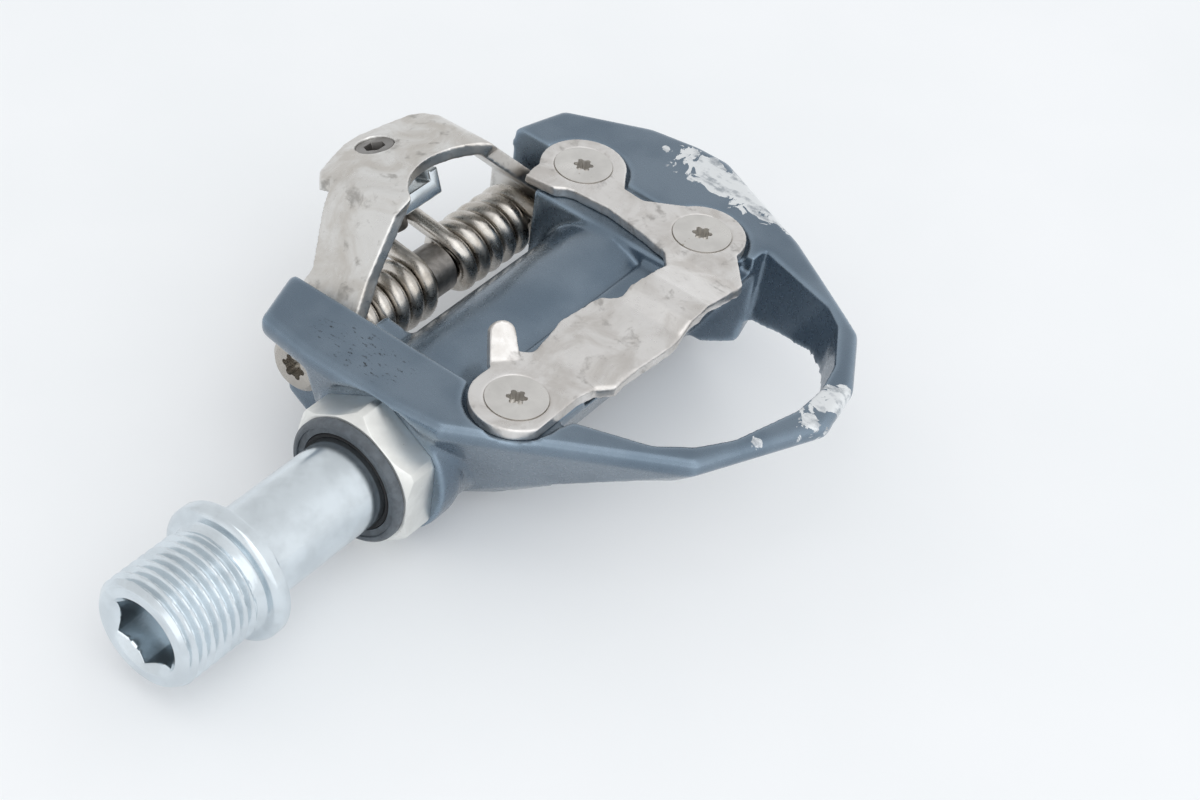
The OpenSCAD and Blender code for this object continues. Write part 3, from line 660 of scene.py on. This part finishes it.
in_lo, in_hi = span("spring_inboard")
out_lo, out_hi = span("spring_outboard")
make_spring("spring_inboard_wire", "spring_inboard", in_lo[0] + WIRE_R, in_hi[0] - WIRE_R)
make_spring("spring_outboard_wire", "spring_outboard", out_hi[0] - WIRE_R, out_lo[0] + WIRE_R)

# ---------------------------------------------------------------- cast body and pressed plates

BODY_VOXEL, BODY_PASSES = 0.3, 8
SHEET_VOXEL, SHEET_PASSES = 0.2, 2

body = mark_edges(cast_copy("pedal_body", "body_casting", BODY_VOXEL, BODY_PASSES), 14)
give(body, paint)
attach(body, "pedal")
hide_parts("pedal_body")


def soften_folds(obj, folds, reach, passes):
    """Rounds a sheet where it bends; folds are (point, direction) lines in millimetres."""
    co = points_of(obj)
    share = np.zeros(len(co))
    for point, direction in folds:
        d = np.array(direction, float)
        d /= np.linalg.norm(d)
        off = co - np.array(point, float)
        away = np.linalg.norm(off - np.outer(off @ d, d), axis=1)
        share = np.maximum(share, np.clip(1 - away / reach, 0, 1))
    set_points(obj, relaxed(obj, co, passes, 0.6 * share))


# The claw plate folds along Y where its web steps up and down; distances are from the middle.
CLAW_FOLDS = (12.5, 9.5, -0.6, -2.5, -6.6, -13.8)
FOLD_LIFT = 0.7
claw = cast_copy("front_claw_plate", "claw_plate_pressed", SHEET_VOXEL, SHEET_PASSES)
claw_lines = [((mid_x + x, 0, plate_top + FOLD_LIFT), (0, 1, 0)) for x in CLAW_FOLDS]
soften_folds(claw, claw_lines, 2.0, 22)
give(claw, claw_steel)
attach(claw, "pedal")
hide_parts("front_claw_plate")

# The latch bends at its top's back edge, along the top's two sides and at the two knees.
HOOD_BACK, HOOD_FALL = -8.8, 2.6
HOOD_FRONT = 2.9
KNEE = 5.3
latch_top = latch_hi[2]
back_y, back_z = pivot[1] + HOOD_BACK, latch_top - HOOD_FALL
front_y = pivot[1] + HOOD_FRONT
latch = cast_copy("rear_latch", "latch_pressed", SHEET_VOXEL, SHEET_PASSES)
folds = [((mid_x, back_y, back_z), (1, 0, 0))]
for side, ear_x in ((1, latch_hi[0]), (-1, latch_lo[0])):
    knee_z = pivot[2] + KNEE
    back_x = ear_x - side * (back_z - knee_z)
    front_x = ear_x - side * (latch_top - knee_z)
    folds.append(((back_x, back_y, back_z), (front_x - back_x, front_y - back_y, HOOD_FALL)))
    folds.append(((ear_x, pivot[1], knee_z), (0, 1, 0)))
soften_folds(latch, folds, 2.2, 24)
give(latch, latch_steel)
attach(latch, "latch")
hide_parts("rear_latch")

# ---------------------------------------------------------------- small parts with broken edges

for node, name, body_name, width, look in (
    ("lock_sleeve", "lock_sleeve_hexagon", "pedal", 0.18, bright_nut),
    ("seal_ring", "seal_ring_moulded", "pedal", 0.12, seal_plastic),
    ("claw_screws", "claw_screw_heads", "pedal", 0.08, screw_steel),
    ("pivot_bolt", "pivot_bolt_turned", "pedal", 0.15, bolt_steel),
    ("pivot_washers", "pivot_washer_pair", "pedal", 0.1, screw_steel),
    ("tension_screw", "tension_screw_socket", "tension_screw", 0.08, dark_screw),
    ("tension_nut", "tension_nut_plate", "tension_nut", 0.25, zinc),
):
    piece = bevelled(node, name, width)
    give(piece, look)
    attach(piece, body_name)
    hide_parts(node)

for node, look in (
    ("seal_lip", lip_rubber), ("plain_bush", bush_bronze), ("race_tube", race_steel),
    ("inner_balls", ball_steel), ("outer_balls", ball_steel), ("outer_cone", race_steel),
    ("lock_washer", race_steel), ("cone_locknut", race_steel), ("spring_spacer", spacer_steel),
):
    give(frame["nodes"][node], look)

# ---------------------------------------------------------------- floor, light, camera

floor_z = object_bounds()[0].z
bpy.ops.mesh.primitive_plane_add(size=4, location=(mid_x * MM, 0, floor_z))
floor = bpy.context.object
floor.name = "floor"
sheet = Paint("floor_paper", 0.7, 0.0, Specular_IOR_Level=0.2,
              Emission_Color=(0.95, 0.97, 1.0, 1), Emission_Strength=0.17)
sheet.set(Base_Color=sheet.mix(sheet.between(sheet.noise(0.02, 3.0), 0.3, 0.7),
                               (0.72, 0.735, 0.745), (0.745, 0.755, 0.765)))
sheet.bump((sheet.noise(0.8, 3.0), 0.02, 0.05))
give(floor, sheet)


def soft_light(name, place, aim, size, power, colour=(1, 1, 1)):
    data = bpy.data.lights.new(name, "AREA")
    data.shape = "RECTANGLE"
    data.size, data.size_y = size
    data.energy = power
    data.color = colour
    obj = link(name, data)
    obj.location = Vector(place)
    obj.rotation_mode = "QUATERNION"
    obj.rotation_quaternion = (Vector(aim) - Vector(place)).to_track_quat("-Z", "Y")


centre = (CAD_BOX[0] + CAD_BOX[1]) / 2
soft_light("window", (0.34, 0.62, 0.42), centre, (1.2, 0.9), 1.3, (0.97, 0.99, 1.0))
soft_light("overhead", (0.10, 0.20, 0.80), centre, (0.6, 0.6), 0.8)

# The room is pale all round and duller high up behind the latch.
DIM_SIDE = (-0.05, -0.60, 0.80)
world = bpy.data.worlds.new("studio")
bpy.context.scene.world = world
world.use_nodes = True
sky = world.node_tree
background = sky.nodes["Background"]
direction = sky.nodes.new("ShaderNodeTexCoord")
facing = sky.nodes.new("ShaderNodeVectorMath")
facing.operation = "DOT_PRODUCT"
facing.inputs[1].default_value = DIM_SIDE
sky.links.new(direction.outputs["Generated"], facing.inputs[0])
ramp = sky.nodes.new("ShaderNodeValToRGB")
ramp.color_ramp.interpolation = "EASE"
ramp.color_ramp.elements[0].position = 0.15
ramp.color_ramp.elements[0].color = (0.97, 0.985, 1.0, 1)
ramp.color_ramp.elements[1].position = 0.90
ramp.color_ramp.elements[1].color = (0.75, 0.76, 0.77, 1)
sky.links.new(facing.outputs["Value"], ramp.inputs["Fac"])
sky.links.new(ramp.outputs["Color"], background.inputs["Color"])
background.inputs["Strength"].default_value = 1.03

bpy.context.scene.view_settings.view_transform = "Standard"

# The camera stands where the photograph's did: its place over the flange, and where it looks.
CAMERA_AT = (132.96, 124.73, 195.75)
CAMERA_RIGHT = (-0.5988, 0.7922, 0.1179)
CAMERA_DOWN = (0.4852, 0.4759, -0.7336)
LENS = 71.04
SENSOR = 36.0

right = Vector(CAMERA_RIGHT).normalized()
down = Vector(CAMERA_DOWN)
down = (down - right * down.dot(right)).normalized()
ahead = right.cross(down)
camera_data = bpy.data.cameras.new("camera")
camera_data.lens = LENS
camera_data.sensor_width = SENSOR
camera_data.clip_start = 0.01
camera = link("camera", camera_data)
turned = Matrix((right, -down, -ahead)).transposed().to_4x4()
camera.matrix_world = Matrix.Translation(Vector(CAMERA_AT) * MM) @ turned
bpy.context.scene.camera = camera
